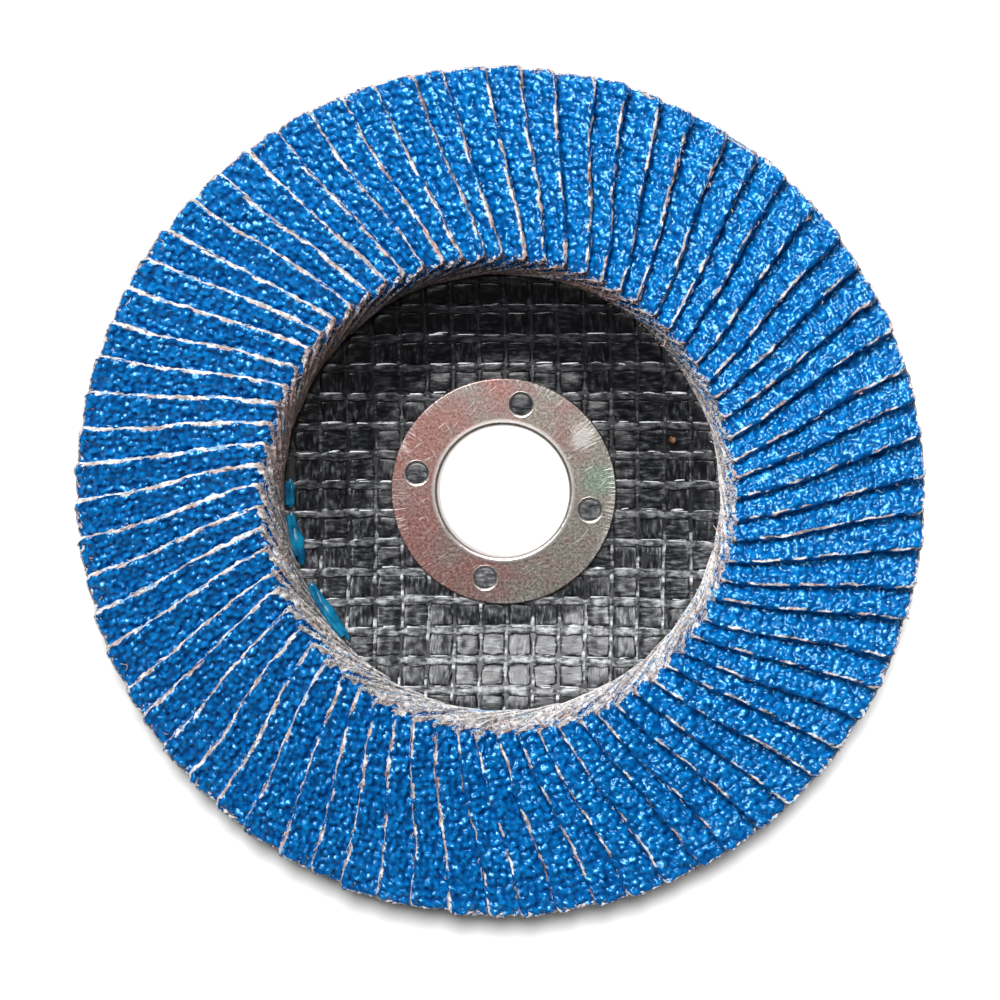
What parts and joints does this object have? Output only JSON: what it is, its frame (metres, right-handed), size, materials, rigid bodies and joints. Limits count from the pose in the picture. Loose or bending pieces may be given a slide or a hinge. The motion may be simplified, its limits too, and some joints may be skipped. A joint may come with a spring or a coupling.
{
  "type": "flap disc",
  "caption": "Round abrasive flap disc for an angle grinder: overlapping coated-cloth flaps glued round a dished glass-fibre backing plate with a steel hub ring.",
  "frame": {"origin": "on the bore axis, at the back face of the hub, which the disc rests on", "axes": "+Z along the bore axis, out of the grain side; +X and +Y in the plane of the disc, with a grip hole of the hub ring 12 degrees clockwise from +Y seen from +Z"},
  "size_m": [0.1, 0.1, 0.0131],
  "materials": {
    "resin_plate": "black resin over woven glass fibre, satin",
    "ring_steel": "tinned steel, satin, finely scratched",
    "adhesive": "cured teal epoxy, semi-gloss",
    "abrasive_cloth": "blue coarse grain on beige and pink cloth"
  },
  "bodies": {
    "root": {"backing_plate": "resin_plate", "hub_ring": "ring_steel", "adhesive_bed": "adhesive", "flap_pair_01": "abrasive_cloth", "flap_pair_02": "abrasive_cloth", "flap_pair_03": "abrasive_cloth", "flap_pair_04": "abrasive_cloth", "flap_pair_05": "abrasive_cloth", "flap_pair_06": "abrasive_cloth", "flap_pair_07": "abrasive_cloth", "flap_pair_08": "abrasive_cloth", "flap_pair_09": "abrasive_cloth", "flap_pair_10": "abrasive_cloth", "flap_pair_11": "abrasive_cloth", "flap_pair_12": "abrasive_cloth", "flap_pair_13": "abrasive_cloth", "flap_pair_14": "abrasive_cloth", "flap_pair_15": "abrasive_cloth", "flap_pair_16": "abrasive_cloth", "flap_pair_17": "abrasive_cloth", "flap_pair_18": "abrasive_cloth", "flap_pair_19": "abrasive_cloth", "flap_pair_20": "abrasive_cloth", "flap_pair_21": "abrasive_cloth", "flap_pair_22": "abrasive_cloth", "flap_pair_23": "abrasive_cloth", "flap_pair_24": "abrasive_cloth", "flap_pair_25": "abrasive_cloth", "flap_pair_26": "abrasive_cloth", "flap_pair_27": "abrasive_cloth", "flap_pair_28": "abrasive_cloth", "flap_pair_29": "abrasive_cloth", "flap_pair_30": "abrasive_cloth", "flap_pair_31": "abrasive_cloth", "flap_pair_32": "abrasive_cloth", "flap_pair_33": "abrasive_cloth", "flap_pair_34": "abrasive_cloth", "flap_pair_35": "abrasive_cloth", "flap_pair_36": "abrasive_cloth"}
  },
  "joints": []
}
